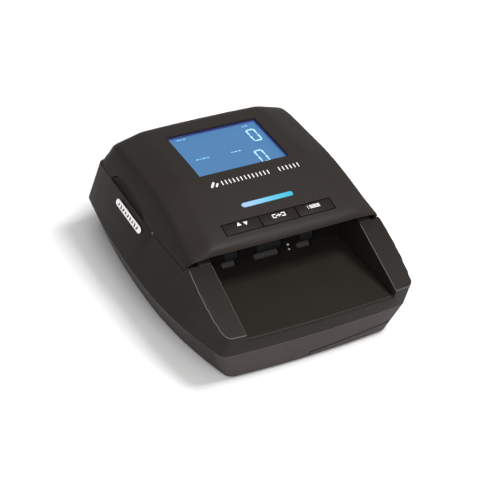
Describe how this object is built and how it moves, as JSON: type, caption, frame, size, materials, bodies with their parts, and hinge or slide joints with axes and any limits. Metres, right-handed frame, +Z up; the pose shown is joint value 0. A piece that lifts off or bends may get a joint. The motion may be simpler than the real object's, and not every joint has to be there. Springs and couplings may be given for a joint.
{
  "type": "counterfeit bill detector",
  "caption": "Low black counter-top banknote checker with a front feed tray, hinged top cover, backlit display, light bar and a row of keys.",
  "frame": {"origin": "on the ground, under the middle of the case", "axes": "+X to the right seen from the front, +Y to the back, +Z up; notes go in at -Y"},
  "size_m": [0.1398, 0.1504, 0.0663],
  "materials": {
    "case_black": "fine-textured matte black moulding",
    "inner_black": "satin black moulding",
    "lens": "clear glossy",
    "sensor_glass": "dark filter glass",
    "screen": "backlit blue",
    "light_guide": "frosted light guide",
    "rubber": "matte",
    "grey_rubber": "ground matte",
    "steel": "brushed",
    "nylon": "natural nylon",
    "brass": "machined",
    "board": "green solder mask",
    "badge_white": "printed white label",
    "battery_wrap": "shrink wrap"
  },
  "bodies": {
    "base": {"base_housing": "case_black", "bottom_plate": "inner_black", "battery_pack": "battery_wrap", "main_board": "board", "note_bed": "inner_black", "bed_sensor_window": "sensor_glass", "bed_sensor_board": "board", "magnetic_head": "steel", "front_bearing_left": "nylon", "front_bearing_right": "nylon", "rear_bearing_left": "nylon", "rear_bearing_right": "nylon", "drive_motor": "steel", "drive_belt": "rubber", "connector_panel": "inner_black", "dc_inlet": "inner_black", "data_port": "steel", "hinge_pin_left": "steel", "hinge_pin_right": "steel", "rubber_foot_1": "rubber", "rubber_foot_3": "rubber", "rubber_foot_4": "rubber", "case_screw_1": "steel", "case_screw_2": "steel", "case_screw_3": "steel", "case_screw_4": "steel", "side_badge": "badge_white"},
    "door": {"battery_door": "case_black", "rubber_foot_2": "rubber"},
    "rocker": {"power_rocker": "inner_black"},
    "front_axle": {"front_drive_shaft": "steel", "front_drive_roller_left": "rubber", "front_drive_roller_middle": "rubber", "front_drive_roller_right": "rubber", "front_pulley": "nylon"},
    "rear_axle": {"rear_drive_shaft": "steel", "rear_drive_roller_left": "rubber", "rear_drive_roller_right": "rubber", "rear_pulley": "nylon", "drive_gear": "nylon"},
    "motor_rotor": {"motor_pinion": "brass"},
    "cover": {"top_cover": "case_black", "display_window": "lens", "display_module": "screen", "display_board": "board", "light_bar": "light_guide", "key_board": "board", "upper_path_plate": "inner_black", "upper_sensor_window": "sensor_glass", "upper_sensor_board": "board"},
    "arrows_key": {"key_arrows": "case_black"},
    "note_key": {"key_note": "case_black"},
    "menu_key": {"key_menu": "case_black"},
    "front_pinch": {"front_pinch_shaft": "steel", "front_pinch_roller_left": "grey_rubber", "front_pinch_roller_middle": "grey_rubber", "front_pinch_roller_right": "grey_rubber"},
    "rear_pinch": {"rear_pinch_shaft": "steel", "rear_pinch_roller_left": "grey_rubber", "rear_pinch_roller_right": "grey_rubber"}
  },
  "joints": [
    {"name": "cover_hinge", "type": "hinge", "parent": "base", "child": "cover", "pos_m": [0, 0.0722, 0.0464], "axis": [-1, 0, 0], "range_deg": [0, 65]},
    {"name": "battery_door_slide", "type": "slide", "parent": "base", "child": "door", "axis": [0, -1, 0], "range_m": [0, 0.012]},
    {"name": "power_rocker_pivot", "type": "hinge", "parent": "base", "child": "rocker", "pos_m": [0.0205, 0.0665, 0.0145], "axis": [-1, 0, 0], "range_deg": [0, 16]},
    {"name": "arrows_key_press", "type": "slide", "parent": "cover", "child": "arrows_key", "axis": [0, 0.2334, -0.9724], "range_m": [0, 0.0008], "stiffness_N_per_m": 400, "springref_m": -0.0004},
    {"name": "note_key_press", "type": "slide", "parent": "cover", "child": "note_key", "axis": [0, 0.2334, -0.9724], "range_m": [0, 0.0008], "stiffness_N_per_m": 400, "springref_m": -0.0004},
    {"name": "menu_key_press", "type": "slide", "parent": "cover", "child": "menu_key", "axis": [0, 0.2334, -0.9724], "range_m": [0, 0.0008], "stiffness_N_per_m": 400, "springref_m": -0.0004},
    {"name": "rear_axle_spin", "type": "hinge", "parent": "base", "child": "rear_axle", "pos_m": [0, 0.042, 0.024], "axis": [1, 0, 0], "continuous": true},
    {"name": "front_axle_spin", "type": "hinge", "parent": "base", "child": "front_axle", "pos_m": [0, -0.0145, 0.024], "axis": [1, 0, 0], "continuous": true},
    {"name": "motor_spin", "type": "hinge", "parent": "base", "child": "motor_rotor", "pos_m": [0, 0.03191, 0.01612], "axis": [1, 0, 0], "continuous": true},
    {"name": "front_pinch_spin", "type": "hinge", "parent": "cover", "child": "front_pinch", "pos_m": [0, -0.0145, 0.0348], "axis": [1, 0, 0], "continuous": true},
    {"name": "rear_pinch_spin", "type": "hinge", "parent": "cover", "child": "rear_pinch", "pos_m": [0, 0.042, 0.0348], "axis": [1, 0, 0], "continuous": true}
  ],
  "couplings": [
    {"joint": "front_axle_spin", "follows": "rear_axle_spin", "ratio": 1},
    {"joint": "motor_spin", "follows": "rear_axle_spin", "ratio": -2.5},
    {"joint": "front_pinch_spin", "follows": "rear_axle_spin", "ratio": -1.3333},
    {"joint": "rear_pinch_spin", "follows": "rear_axle_spin", "ratio": -1.3333}
  ]
}
